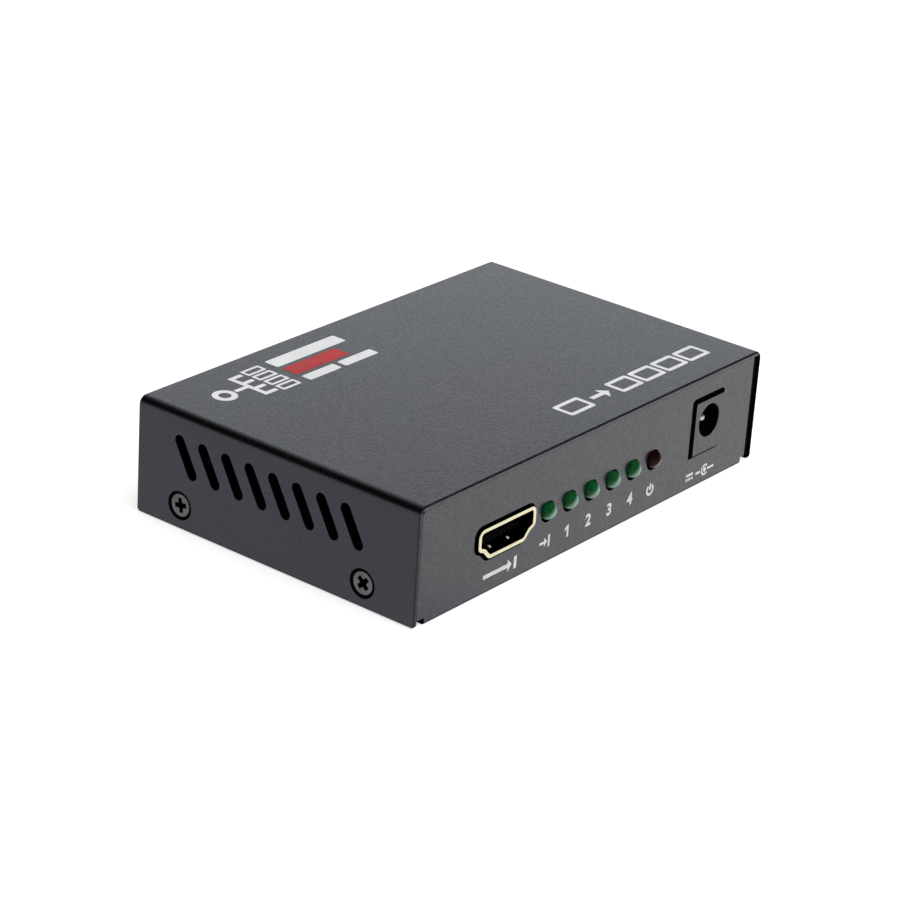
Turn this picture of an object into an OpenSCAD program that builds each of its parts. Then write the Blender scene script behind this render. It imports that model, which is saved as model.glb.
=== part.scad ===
// Four-way video splitter box: a folded steel tray and cover around one circuit board.
// X runs along the front panel, Y to the rear, Z up; the origin is the middle of the base.

/* [Housing] */
// Width of the case from side to side
case_w = 104; // [98:1:130]
// Depth of the case from front edge to rear edge
case_d = 66; // [62:1:90]
// Height of the case
case_h = 23; // [21:0.5:32]
// Thickness of the folded sheet steel
sheet = 0.8; // [0.6:0.1:1.2]
// Inside radius of the two folds of the cover
cover_fold_r = 0.9; // [0.3:0.1:1.5]
// Inside radius of the sharp folds of the tray
tray_fold_r = 0.2; // [0.1:0.1:0.5]
// Outside radius of the sharp folds of the tray
tray_edge_r = 0.5; // [0.3:0.1:1]
// How far the front and rear panels sit behind the edges of the cover
panel_recess = 0.05; // [0.05:0.05:1]
// Space between the left edge of a panel and the cover
panel_left_gap = 0.1; // [0.05:0.05:1]
// Space between the right edge of a panel and the cover
panel_right_gap = 0.9; // [0.2:0.1:1.2]
// Space between the top edge of a panel and the cover
panel_top_gap = 0.05; // [0.05:0.05:0.5]
// Height of the lower edges of the cover above the base plane
cover_lift = 0.1; // [0.05:0.05:0.5]
// Radius on the lower corners of the cover
cover_corner_r = 0.8; // [0.3:0.1:2]
// Width of the relief notch at the lower corners of a panel
notch_w = 2; // [1:0.1:3]
// Height of that relief notch above the fold
notch_rise = 0.4; // [0:0.1:1]

/* [Side vents] */
// Number of slanted slots in each side
vent_count = 8; // [2:1:9]
// Distance from slot to slot
vent_pitch = 5.6; // [3.5:0.1:6]
// Width of a slot
vent_w = 2.2; // [1.2:0.1:3]
// Distance between the centres of the two round ends of a slot
vent_run = 6.5; // [3:0.1:8]
// Lean of a slot from upright, its top towards the rear
vent_lean = 29; // [0:1:40]
// Height of the middle of the slots
vent_z = 14.6; // [13:0.1:15]
// Shift of the row of slots towards the rear
vent_shift = 1.4; // [-3:0.1:3]

/* [Cover screws] */
// Thread diameter of the screws
screw_d = 3; // [2:0.1:3.5]
// Diameter of the flat countersunk head
head_d = 4.5; // [4:0.1:5]
// Diameter of the countersink where it meets the face of the cover
seat_d = 5.6; // [5.2:0.1:6.4]
// Length of a screw with its head
screw_len = 4; // [3.5:0.1:6]
// Height of the screws above the base plane
screw_z = 4.75; // [4.5:0.05:6]
// Distance between the front and the rear screw
screw_spacing = 43.4; // [30:0.1:48]
// Shift of both screws towards the rear
screw_shift = 0.5; // [-2:0.1:2]
// Length of a screw tab of the tray
tab_len = 12; // [8:0.5:14]
// Space between a screw tab and the inside of the cover
tab_gap = 0.15; // [0.05:0.05:0.5]
// Length of the threaded collar behind a tab
collar_len = 1; // [0.5:0.1:1.5]

/* [Board] */
// Thickness of the circuit board
board_t = 1.6; // [0.8:0.1:2.4]
// Height of the standoffs between tray and board
standoff_h = 4.5; // [3.5:0.1:6.5]
// Diameter of a standoff
standoff_d = 5.5; // [5:0.1:7]
// Space between the board and the front and rear panels
board_end_gap = 0.5; // [0.2:0.1:1]
// Space between the board and the tips of the cover screws
board_side_gap = 0.8; // [0.3:0.1:2]
// Distance of the board screws from the side edges of the board
board_screw_in_x = 4.35; // [3.5:0.05:6]
// Distance of the board screws from the front and rear edges of the board
board_screw_in_y = 13.9; // [13:0.1:16]
// Thread diameter of the board screws
board_screw_d = 3; // [2:0.1:3]
// Length of a board screw under its head
board_screw_len = 5; // [4:0.1:5.5]

/* [Video sockets] */
// Width of the opening of a socket
socket_w = 14.8; // [13:0.1:15.5]
// Height of the opening of a socket
socket_h = 4.7; // [4.2:0.1:5.5]
// Width of the narrow lower side of the opening
socket_low_w = 9.5; // [8:0.1:10.5]
// Height at which the sides step in, below the middle of the opening
socket_shoulder = 0.35; // [0.1:0.05:0.6]
// Width of the opening at the inner end of that step, where the steep slope starts
socket_step_w = 12.4; // [11.8:0.1:12.8]
// Height of the step
socket_step_h = 0.5; // [0.3:0.05:0.7]
// Sheet thickness of a socket shell
shell_t = 0.45; // [0.3:0.05:0.6]
// How far the flared lip stands out around the shell
lip_out = 0.35; // [0.2:0.05:0.6]
// Depth of the flared lip
lip_len = 0.7; // [0.4:0.1:1.2]
// Length of a socket shell
shell_len = 11; // [10:0.1:13]
// How far a socket stands out of its panel
socket_proud = 0.45; // [0.2:0.05:1]
// Clearance between the lip of a socket and its cut-out
socket_gap = 0.5; // [0.3:0.05:0.8]
// How far a cut-out lies to the left of its socket
socket_cut_shift = 0.2; // [0:0.05:0.25]
// Space between a socket shell and the board
socket_lift = 0.5; // [0.3:0.05:1]
// Distance of the input socket from the left side of the case
input_from_left = 24.8; // [23:0.1:26]
// Distance of the outer output sockets from the sides of the case
output_margin = 19; // [18:0.1:20]
// Thickness of the contact tongue
tongue_t = 1.4; // [1:0.1:1.8]
// Depth of the tip of the tongue behind the mouth
tongue_in = 1.3; // [0.8:0.1:2]
// Width of a socket contact
contact_w = 0.4; // [0.3:0.02:0.44]
// Thickness of a socket contact
contact_t = 0.15; // [0.1:0.01:0.25]

/* [Indicators] */
// Diameter of an indicator lens
led_d = 3.2; // [2:0.1:3.4]
// Length of an indicator lens
led_len = 5.3; // [4:0.1:7]
// How far an indicator stands out of the front panel
led_proud = 1.55; // [0.8:0.05:2]
// Clearance between the top of an indicator and the edge of its hole
led_gap = 0.25; // [0.05:0.05:0.3]
// How far the centre of a hole lies under the axis of its indicator
led_hole_drop = 0.2; // [0:0.05:0.5]
// Distance of the first indicator from the left side of the case
led_from_left = 37.1; // [36.8:0.1:40]
// Distance from indicator to indicator
led_pitch = 6.5; // [5:0.1:7]
// Height of the indicators above the board
led_rise = 3.7; // [3:0.1:6]

/* [Power jack] */
// Width of the jack
jack_w = 9.2; // [8.8:0.1:10]
// Height of the jack
jack_h = 11.1; // [10.8:0.1:12]
// Length of the jack
jack_len = 13; // [12:0.1:15]
// Height of the plug axis above the board
jack_rise = 6.6; // [6:0.1:6.8]
// Diameter of the plug bore
jack_bore = 6.6; // [6:0.1:6.8]
// Diameter of the centre pin
jack_pin_d = 2; // [1.6:0.1:2.6]
// Depth of the tip of the pin behind the face of the jack
jack_pin_in = 1.2; // [0.5:0.1:3]
// How far the jack stands out of the front panel
jack_proud = 0.45; // [0.1:0.05:1]
// Clearance between the jack and the left side of its cut-out
jack_gap_left = 0.75; // [0.3:0.05:1]
// Clearance between the jack and the right side of its cut-out
jack_gap_right = 0.55; // [0.3:0.05:1]
// Clearance between the jack and the top of its cut-out
jack_gap_top = 0.8; // [0.3:0.05:1.2]
// Clearance between the jack and the foot of its cut-out
jack_gap_low = 0.3; // [0.1:0.05:0.8]
// Distance of the middle of the jack from the right side of the case
jack_from_right = 17.1; // [16:0.1:18]

/* [Board parts] */
// Side of the square splitter chip
chip_w = 14; // [10:0.5:16]
// Height of the splitter chip
chip_h = 1.4; // [1:0.1:2]
// Pins along one side of the splitter chip
chip_pins = 16; // [8:1:18]
// Height of the heat sink over the chip
sink_h = 6; // [4:0.5:8]
// Number of fins on the heat sink
sink_fins = 6; // [3:1:8]

/* [Hidden] */
$fn = 48;
// Overshoot of a cut past the face it opens
eps = 0.1;

// Housing
panel_y = case_d / 2 - panel_recess;
panel_half = case_w / 2 - sheet - (panel_left_gap + panel_right_gap) / 2;
panel_mid = (panel_left_gap - panel_right_gap) / 2;
panel_top = case_h - sheet - panel_top_gap;
notch_h = tray_fold_r + sheet + notch_rise;
base_half = panel_half - notch_w;
tab_half = case_w / 2 - sheet - tab_gap;
screw_ys = [for (s = [-1, 1]) s * screw_spacing / 2 + screw_shift];

// Countersunk screws end a little under the face, on the cone of the cover
cone_gap = 0.05;
thread_gap = 0.05;
screw_turns = [45, 10];
screw_sink = (seat_d - head_d) / 2 - cone_gap;
screw_hole_r = screw_d / 2 + thread_gap;
tab_h = screw_z + seat_d / 2 + sheet;
collar_r = screw_hole_r + sheet;
cross_span = 2.8;
cross_w = 0.9;
cross_core = 1.7;
cross_depth = 0.6;

// Board
board_w = case_w - 2 * (screw_sink + screw_len + board_side_gap);
board_d = 2 * (panel_y - sheet - board_end_gap);
board_z = sheet + standoff_h;
board_top = board_z + board_t;
board_screw_x = board_w / 2 - board_screw_in_x;
board_screw_y = board_d / 2 - board_screw_in_y;
spigot_step = 0.7;
spigot_gap = 0.05;
spigot_d = standoff_d - 2 * spigot_step;
pan_d = 5.4;
pan_h = 2.1;
lead_below = 1.2;
hole_gap = 0.2;

// Sockets, measured from the face of the panel inwards
socket_z = board_top + socket_lift + shell_t + socket_h / 2;
socket_corner_r = 0.7;
shoulder_r = 0.4;
step_r = 0.5;
arc_steps = 6;
input_x = input_from_left - case_w / 2;
output_pitch = (case_w - 2 * output_margin) / 3;
output_xs = [for (i = [0:3]) (i - 1.5) * output_pitch];
mouth_y = -socket_proud;
shell_end = mouth_y + shell_len;
block_len = 3;
block_y = shell_end - block_len;
block_gap = 0.05;
foot_len = 1.4;
tongue_side = 1.7;
tongue_half = socket_w / 2 - tongue_side;
tongue_z = 0.15;
contact_pitch = 1;
upper_contacts = 10;
contact_gap = 0.03;
contact_back = 0.4;
tail_run = 0.9;
tail_end = shell_end + foot_len + contact_t + tail_run;
spring_w = 1.5;
spring_x = 2.6;
spring_gap = 0.3;
spring_t = 0.25;
spring_in = 0.45;
spring_crest = 0.9;
spring_back = 1.4;
spring_run = 5;
spring_y0 = mouth_y + spring_back;
spring_y1 = spring_y0 + spring_run;
leg_w = 1.2;
leg_back = 3.4;
leg_spacing = 5.6;
leg_rise = 1.15;
leg_ys = [mouth_y + leg_back, mouth_y + leg_back + leg_spacing];

// Indicators
led_z = board_top + led_rise;
led_xs = [for (i = [0:5]) led_from_left - case_w / 2 + i * led_pitch];
led_back = -panel_y - led_proud + led_len;
led_hole_r = led_d / 2 + led_gap + led_hole_drop;
led_rim_out = 0.4;
led_rim_h = 1;
lead_t = 0.5;
lead_pitch = 2.54;
lead_run = 2;

// Jack
jack_x = case_w / 2 - jack_from_right;
jack_z = board_top + jack_rise;
jack_front = -panel_y - jack_proud;
jack_back = jack_front + jack_len;
jack_corner_r = 0.4;
jack_cut_r = 0.8;
jack_flange = 3.6;
jack_wall = 0.9;
jack_barrel_r = jack_bore / 2 + jack_wall;
jack_end_wall = 3;
jack_mouth = 0.1;
jack_tab_w = 2.4;
jack_tab_t = 0.4;
jack_slot_gap = 0.2;
jack_tab_end = board_z - lead_below;
jack_channel_in = 5.4;
jack_channel_wall = 2;
jack_channel_y0 = jack_front + jack_channel_in;
jack_channel_y1 = jack_back - jack_channel_wall;
jack_blade_in = 0.4;
jack_blade_crest = 1.2;
jack_knee = 1;
switch_tab_run = 4;
switch_tab_y = jack_front + jack_flange + switch_tab_run;

// Board parts, each placed by its middle on the plan of the board
chip_at = [0, -3];
chip_lift = 0.1;
chip_pin_w = 0.35;
chip_pin_t = 0.15;
chip_pin_out = 1.4;
chip_pin_foot = 0.6;
chip_pin_pitch = chip_w / (chip_pins + 1);
sink_base = 1.5;
sink_fin_t = 1;
ring_run = 2;
ring_pitch = 3;
chip_ring = chip_w / 2 + chip_pin_out + ring_run;
crystal_can = [10.2, 3.8, 3.5];
crystal_rim = 0.4;
crystal_at = [-chip_ring - ring_run - crystal_can[0] / 2, 2];
// Offsets of the parts for the power, in X from the jack
regulator_at = [[-2, -10], [-2, -1]];
capacitor_at = [[-13, -13], [-13, -3], [5, 5]];
diode_at = [6.6, -10];
regulator_body = [6.5, 3.5, 1.6];
regulator_tab = [3.2, 3.5, 0.3];
regulator_lead = [0.75, 1.75, 0.3];
regulator_pitch = 2.3;
control_at = [20, 6];
control_body = [4.9, 3.9, 1.5];
control_lead = [0.42, 6, 0.2];
control_pitch = 1.27;
capacitor_d = 6.3;
capacitor_h = 5.4;
capacitor_foot_h = 1.2;
capacitor_gap = 0.1;
diode_body = [2.6, 4.3, 2.2];
diode_tab = [1.4, 5.5, 0.3];
guard_body = [2.5, 1.6, 1];
guard_run = 2.5;
guard_x = 2.6;
guard_y = panel_y - tail_end - guard_run;
resistor_body = [0.8, 1.6, 0.5];
resistor_run = 2.5;
ceramic_body = [0.8, 1.6, 0.8];

function unit(v) = v / norm(v);
function edge_normal(a, b) = let (d = unit(b - a)) [d[1], -d[0]];

// Points of a closed outline moved outward by g along its edge normals
function grown(pts, g) = [
    for (i = [0:len(pts) - 1])
        let (
            a = pts[(i + len(pts) - 1) % len(pts)],
            p = pts[i],
            b = pts[(i + 1) % len(pts)],
            n1 = edge_normal(a, p),
            n2 = edge_normal(p, b)
        )
        p + (n1 + n2) * g / (1 + n1 * n2)
];

// Points of an arc of radius r that rounds the corner p between its neighbours a and b
function corner_arc(p, a, b, r) =
    let (
        u = unit(a - p),
        v = unit(b - p),
        half = acos(u * v) / 2,
        c = p + unit(u + v) * r / sin(half),
        s = p + u * r / tan(half) - c,
        e = p + v * r / tan(half) - c,
        a0 = atan2(s[1], s[0]),
        sweep = (atan2(e[1], e[0]) - a0 + 540) % 360 - 180
    )
    [for (k = [0:arc_steps]) let (t = a0 + sweep * k / arc_steps) c + r * [cos(t), sin(t)]];

function rounded(pts, rs) = [
    for (i = [0:len(pts) - 1])
        each corner_arc(pts[i], pts[(i + len(pts) - 1) % len(pts)], pts[(i + 1) % len(pts)], rs[i])
];

// Corners of the socket opening, counter-clockwise from the lower right: wide above, stepped in below
function socket_corners() =
    let (
        w = socket_w / 2,
        h = socket_h / 2,
        low = socket_low_w / 2,
        step = socket_step_w / 2,
        step_z = -socket_shoulder - socket_step_h
    )
    [
        [low, -h], [step, step_z], [w, -socket_shoulder], [w, h],
        [-w, h], [-w, -socket_shoulder], [-step, step_z], [-low, -h]
    ];

// The opening of a socket grown by g, the radii of its outward corners growing with it
module socket_outline(g) {
    r = socket_corner_r + g;
    s = shoulder_r + g;
    polygon(rounded(grown(socket_corners(), g), [r, step_r, s, r, r, s, step_r, r]));
}

// A slab with the socket outline grown by g, from depth y0 to depth y1
module socket_slab(g, y0, y1) {
    translate([0, y1, 0]) rotate([90, 0, 0]) linear_extrude(height = y1 - y0) socket_outline(g);
}

// A rectangle standing on its lower side, with both lower corners rounded
module round_base(w, h, r) {
    translate([-w / 2, r]) square([w, h - r]);
    translate([-w / 2 + r, 0]) square([w - 2 * r, h]);
    for (s = [-1, 1]) translate([s * (w / 2 - r), r]) circle(r);
}

// The same rectangle with its upper corners rounded
module round_top(w, h, r) {
    translate([0, h]) mirror([0, 1]) round_base(w, h, r);
}

// Section of a sheet folded up at both sides, with its inside and outside radius
module folded_section(w, h, r_in, r_out) {
    difference() {
        round_base(w, h, r_out);
        translate([0, sheet]) round_base(w - 2 * sheet, h, r_in);
    }
}

// A strip of width w that follows an outline drawn in Y and Z
module strip(w, pts) {
    rotate([90, 0, 90]) linear_extrude(height = w, center = true) polygon(pts);
}

// A row of slanted slots through both sides of the cover
module vent_cuts() {
    for (i = [0:vent_count - 1])
        translate([0, (i - (vent_count - 1) / 2) * vent_pitch + vent_shift, vent_z])
            rotate([-vent_lean, 0, 0]) rotate([90, 0, 90])
                linear_extrude(height = case_w + 2 * eps, center = true) {
                    square([vent_w, vent_run], center = true);
                    for (s = [-1, 1]) translate([0, s * vent_run / 2]) circle(d = vent_w);
                }
}

// Places children at each cover screw, with +Z out of the housing and zero on the face of the cover
module at_cover_screws() {
    for (s = [-1, 1], i = [0, 1])
        translate([s * case_w / 2, screw_ys[i], screw_z]) rotate([0, s * 90, 0]) rotate(screw_turns[i])
            children();
}

// Countersunk hole for a cover screw through cover, tab and collar
module screw_cut() {
    cone = seat_d / 2 - screw_hole_r;
    depth = screw_sink + screw_len + board_side_gap;
    translate([0, 0, -cone]) cylinder(h = cone + eps, r1 = screw_hole_r, r2 = seat_d / 2 + eps);
    translate([0, 0, -depth]) cylinder(h = depth, r = screw_hole_r);
}

// Places children at each board screw, with zero at the height z
module at_board_screws(z) {
    for (sx = [-1, 1], sy = [-1, 1])
        translate([sx * board_screw_x, sy * board_screw_y, z]) children();
}

// Places children at a video socket: number 0 is the input, 1 to 4 are the outputs
module at_socket(number) {
    if (number == 0)
        translate([input_x, -panel_y, socket_z]) children();
    else
        translate([output_xs[number - 1], panel_y, socket_z]) rotate([0, 0, 180]) children();
}

module at_all_sockets() {
    for (number = [0:4]) at_socket(number) children();
}

// A prism through the front panel with the section of its children
module front_panel_cut() {
    translate([0, -panel_y + sheet + eps, 0]) rotate([90, 0, 0])
        linear_extrude(height = sheet + 2 * eps) children();
}

module top_cover() {
    color("#3b3c40") difference() {
        translate([0, 0, case_h]) mirror([0, 0, 1]) rotate([90, 0, 0])
            linear_extrude(height = case_d, center = true)
                folded_section(case_w, case_h - cover_lift, cover_fold_r, cover_fold_r + sheet);
        vent_cuts();
        at_cover_screws() screw_cut();
        for (s = [-1, 1])
            translate([0, s * case_d / 2, cover_lift]) rotate([90, 0, 90])
                linear_extrude(height = case_w + 2 * eps, center = true) difference() {
                    square(2 * cover_corner_r, center = true);
                    translate([-s * cover_corner_r, cover_corner_r]) circle(cover_corner_r);
                }
    }
}

module base_tray() {
    color("#3f4044") difference() {
        union() {
            translate([panel_mid, 0, 0]) rotate([90, 0, 90])
                linear_extrude(height = 2 * base_half, center = true)
                    folded_section(2 * panel_y, panel_top - cover_fold_r, tray_fold_r, tray_edge_r);
            for (y = [-panel_y + sheet, panel_y])
                translate([panel_mid, y, notch_h]) rotate([90, 0, 0]) linear_extrude(height = sheet)
                    round_top(2 * panel_half, panel_top - notch_h, cover_fold_r);
            for (y = screw_ys)
                translate([0, y, 0]) rotate([90, 0, 0]) linear_extrude(height = tab_len, center = true)
                    folded_section(2 * tab_half, tab_h, tray_fold_r, tray_edge_r);
            at_cover_screws() translate([0, 0, -2 * sheet - tab_gap - collar_len])
                cylinder(h = collar_len + sheet / 2, r = collar_r);
        }
        at_cover_screws() screw_cut();
        at_all_sockets() translate([-socket_cut_shift, 0, 0])
            socket_slab(shell_t + lip_out + socket_gap, -eps, sheet + eps);
        front_panel_cut()
            translate([jack_x + (jack_gap_right - jack_gap_left) / 2, board_top - jack_gap_low]) round_top(
                jack_w + jack_gap_left + jack_gap_right, jack_h + jack_gap_low + jack_gap_top, jack_cut_r
            );
        for (x = led_xs) front_panel_cut() translate([x, led_z - led_hole_drop]) circle(led_hole_r);
        at_board_screws(-eps) cylinder(h = sheet + 2 * eps, d = spigot_d + 2 * spigot_gap);
    }
}

// Cross recess in a screw head, its top at zero
module cross_recess() {
    for (a = [0, 90])
        rotate(a) translate([-cross_span / 2, -cross_w / 2, -cross_depth])
            cube([cross_span, cross_w, cross_depth + eps]);
    translate([0, 0, -cross_depth]) cylinder(h = cross_depth + eps, d1 = cross_w, d2 = cross_core);
}

module cover_screws() {
    head_h = (head_d - screw_d) / 2;
    color("#6f716d") at_cover_screws() translate([0, 0, -screw_sink]) difference() {
        union() {
            translate([0, 0, -head_h]) cylinder(h = head_h, d1 = screw_d, d2 = head_d);
            translate([0, 0, -screw_len]) cylinder(h = screw_len - head_h, d = screw_d);
        }
        cross_recess();
    }
}

module board_standoffs() {
    color("#b9bcc0") at_board_screws(0) difference() {
        union() {
            translate([0, 0, sheet]) cylinder(h = standoff_h, d = standoff_d);
            cylinder(h = sheet, d = spigot_d);
        }
        translate([0, 0, sheet]) cylinder(h = standoff_h + eps, d = board_screw_d + 2 * thread_gap);
    }
}

module board_screws() {
    color("#9fa2a6") at_board_screws(board_top) difference() {
        union() {
            cylinder(h = pan_h, d = pan_d);
            translate([0, 0, -board_screw_len]) cylinder(h = board_screw_len, d = board_screw_d);
        }
        translate([0, 0, pan_h]) cross_recess();
    }
}

module main_board() {
    h = board_t + 2 * eps;
    color("#1f5a3a") difference() {
        translate([-board_w / 2, -board_d / 2, board_z]) cube([board_w, board_d, board_t]);
        at_board_screws(board_z - eps) cylinder(h = h, d = board_screw_d + 2 * hole_gap);
        at_all_sockets() for (s = [-1, 1], y = leg_ys)
            translate([s * (socket_w + shell_t) / 2, y, board_z + board_t / 2 - socket_z])
                cube([shell_t + 2 * hole_gap, leg_w + 2 * hole_gap, h], center = true);
        for (x = led_xs, s = [-1, 1])
            translate([x + s * lead_pitch / 2, led_back + lead_run, board_z - eps])
                cylinder(h = h, d = lead_t * sqrt(2) + hole_gap);
        jack_tab_cuts(h);
    }
}

module socket_shell(number) {
    window = [spring_w + 2 * spring_gap, spring_y1 - spring_y0, shell_t + 2 * eps];
    color("#e6d9a8") at_socket(number) {
        difference() {
            union() {
                socket_slab(shell_t, mouth_y, shell_end);
                socket_slab(shell_t + lip_out, mouth_y, mouth_y + lip_len);
            }
            socket_slab(0, mouth_y - eps, shell_end + eps);
            for (s = [-1, 1], side = [-1, 1])
                translate([s * spring_x, (spring_y0 + spring_y1) / 2, side * (socket_h + shell_t) / 2])
                    cube(window, center = true);
        }
        for (s = [-1, 1], side = [0, 1])
            translate([s * spring_x, 0, 0]) mirror([0, 0, side]) contact_spring();
        for (s = [-1, 1], y = leg_ys)
            translate([s * (socket_w + shell_t) / 2, y, 0]) socket_leg();
    }
}

// Sprung tongue in the lower wall of a shell, rising into the opening near the mouth
module contact_spring() {
    wall = -socket_h / 2;
    root = wall - shell_t;
    tip = spring_y0 + spring_gap;
    crest = tip + spring_crest;
    strip(spring_w, [
        [spring_y1 + eps, root], [spring_y1 + eps, root + spring_t], [crest, wall + spring_in],
        [tip, wall + spring_t / 2], [tip, wall - spring_t / 2],
        [crest, wall + spring_in - spring_t], [spring_y1 - spring_gap, root]
    ]);
}

// Solder leg from the side wall of a shell down through the board
module socket_leg() {
    end = board_z - lead_below - socket_z;
    translate([-shell_t / 2, -leg_w / 2, end]) cube([shell_t, leg_w, leg_rise - end]);
}

// One row of contacts lies on the tongue and another, with one fewer, half a pitch apart under it
function contact_xs(row) =
    let (n = upper_contacts - row)
    [for (i = [0:n - 1]) (i - (n - 1) / 2) * contact_pitch];
function contact_level(row) = row == 0 ? tongue_z + tongue_t / 2 : tongue_z - tongue_t / 2 - contact_t;

module socket_tongue(number) {
    tip = mouth_y + tongue_in;
    foot_z = board_top - socket_z;
    color("#1a1a1c") at_socket(number) difference() {
        union() {
            socket_slab(-block_gap, block_y, shell_end + foot_len);
            translate([-tongue_half, tip, tongue_z - tongue_t / 2])
                cube([2 * tongue_half, block_y - tip + eps, tongue_t]);
            translate([-tongue_half, shell_end + block_gap, foot_z])
                cube([2 * tongue_half, foot_len - block_gap, -foot_z]);
        }
        for (row = [0, 1], x = contact_xs(row))
            translate([x - contact_w / 2 - contact_gap, block_y - eps, contact_level(row) - contact_gap])
                cube([contact_w + 2 * contact_gap, shell_len, contact_t + 2 * contact_gap]);
    }
}

module socket_contacts(number) {
    y0 = mouth_y + tongue_in + contact_back;
    y1 = shell_end + foot_len;
    y2 = y1 + contact_t;
    foot_z = board_top - socket_z;
    foot_top = foot_z + contact_t;
    color("#d8b45a") at_socket(number) for (row = [0, 1], x = contact_xs(row))
        let (z = contact_level(row), top = z + contact_t)
            translate([x, 0, 0]) strip(contact_w, [
                [y0, z], [y1, z], [y1, foot_z], [tail_end, foot_z],
                [tail_end, foot_top], [y2, foot_top], [y2, top], [y0, top]
            ]);
}

module led_lens(number, tint) {
    r = led_d / 2;
    color(tint) translate([led_xs[number], led_back, led_z]) rotate([90, 0, 0]) rotate_extrude() {
        square([r, led_len - r]);
        square([r + led_rim_out, led_rim_h]);
        translate([0, led_len - r]) quarter_disc(r);
    }
}

// Half of the section of a round end
module quarter_disc(r) {
    intersection() {
        circle(r);
        square(r);
    }
}

module led_leads() {
    y = led_back + lead_run;
    h = lead_t / 2;
    end = board_z - lead_below;
    color("#c3c6c9") for (x = led_xs, s = [-1, 1])
        translate([x + s * lead_pitch / 2, 0, 0]) strip(lead_t, [
            [led_back, led_z - h], [y - h, led_z - h], [y - h, end],
            [y + h, end], [y + h, led_z + h], [led_back, led_z + h]
        ]);
}

module power_jack_body() {
    side_x = jack_x + jack_barrel_r - jack_tab_t;
    color("#202123") difference() {
        translate([jack_x, 0, 0]) union() {
            translate([0, jack_front + jack_flange, board_top]) rotate([90, 0, 0])
                linear_extrude(height = jack_flange) round_top(jack_w, jack_h, jack_corner_r);
            translate([0, jack_back, board_top]) rotate([90, 0, 0])
                linear_extrude(height = jack_len - jack_flange + eps)
                    round_top(2 * jack_barrel_r, jack_rise + jack_barrel_r, jack_barrel_r - eps);
        }
        translate([jack_x, jack_front, jack_z]) rotate([-90, 0, 0]) {
            translate([0, 0, -eps]) cylinder(h = jack_len - jack_end_wall + eps, d = jack_bore);
            translate([0, 0, -eps])
                cylinder(h = jack_mouth + eps, d1 = jack_bore + 2 * (jack_mouth + eps), d2 = jack_bore);
            cylinder(h = jack_len + eps, d = jack_pin_d + 2 * thread_gap);
        }
        translate([jack_x - jack_tab_w / 2 - jack_slot_gap, jack_channel_y0, board_top - eps])
            cube([jack_tab_w + 2 * jack_slot_gap, jack_channel_y1 - jack_channel_y0, jack_rise]);
        translate([side_x, switch_tab_y - jack_tab_w / 2 - jack_slot_gap, board_top - eps])
            cube([jack_tab_t + eps, jack_tab_w + 2 * jack_slot_gap, jack_rise + eps]);
    }
}

// Slots of height h in the board for the three solder tabs of the jack
module jack_tab_cuts(h) {
    span = jack_tab_w + 2 * hole_gap;
    thick = jack_tab_t + 2 * hole_gap;
    z = board_z + board_t / 2;
    for (y = [jack_back + jack_tab_t / 2, jack_channel_y1 - jack_slot_gap - jack_tab_t / 2])
        translate([jack_x, y, z]) cube([span, thick, h], center = true);
    translate([jack_x + jack_barrel_r - jack_tab_t / 2, switch_tab_y, z])
        cube([thick, span, h], center = true);
}

module power_jack_pin() {
    r = jack_pin_d / 2;
    straight = jack_len - jack_pin_in - r;
    color("#d6d8da") translate([jack_x, jack_back, 0]) {
        translate([0, 0, jack_z]) rotate([90, 0, 0]) rotate_extrude() {
            square([r, straight]);
            translate([0, straight]) quarter_disc(r);
        }
        translate([-jack_tab_w / 2, 0, jack_tab_end])
            cube([jack_tab_w, jack_tab_t, jack_z + jack_tab_w / 2 - jack_tab_end]);
    }
}

// Bent blade whose crest stands into the bore and presses on the sleeve of a plug
module power_jack_spring() {
    back = jack_channel_y1 - jack_slot_gap;
    tip = jack_channel_y0 + jack_slot_gap;
    crest = jack_channel_y0 + jack_blade_crest;
    bore_z = jack_z - jack_bore / 2;
    knee = board_top + jack_knee;
    color("#c9a24a") translate([jack_x, 0, 0]) strip(jack_tab_w, [
        [back, jack_tab_end], [back, knee], [crest, bore_z + jack_blade_in], [tip, bore_z],
        [tip, bore_z - jack_tab_t], [crest, bore_z + jack_blade_in - jack_tab_t],
        [back - jack_tab_t, knee - jack_tab_t / 2], [back - jack_tab_t, jack_tab_end]
    ]);
}

module power_jack_switch_tab() {
    color("#c3c6c9")
        translate([jack_x + jack_barrel_r - jack_tab_t, switch_tab_y - jack_tab_w / 2, jack_tab_end])
            cube([jack_tab_t, jack_tab_w, jack_z - jack_slot_gap - jack_tab_end]);
}

// Places children on the top of the board at a point of its plan
module on_board(p) {
    translate([p[0], p[1], board_top]) children();
}

module by_jack(p) {
    on_board([jack_x + p[0], p[1]]) children();
}

// A block standing on the plan point p, centred on it
module standing_block(size, lift = 0) {
    translate([-size[0] / 2, -size[1] / 2, lift]) cube(size);
}

module splitter_chip() {
    color("#18181a") on_board(chip_at) standing_block([chip_w, chip_w, chip_h], chip_lift);
}

// Gull-wing pins on all four sides of the chip
module splitter_chip_pins() {
    y = chip_w / 2;
    z = chip_lift + chip_h / 2;
    end = y + chip_pin_out;
    knee = end - chip_pin_foot;
    color("#c3c6c9") on_board(chip_at) for (side = [0:3], i = [0:chip_pins - 1])
        rotate(side * 90) translate([(i - (chip_pins - 1) / 2) * chip_pin_pitch, 0, 0])
            strip(chip_pin_w, [
                [y, z], [knee - chip_pin_t, z], [knee - chip_pin_t, 0], [end, 0],
                [end, chip_pin_t], [knee, chip_pin_t], [knee, z + chip_pin_t], [y, z + chip_pin_t]
            ]);
}

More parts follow.
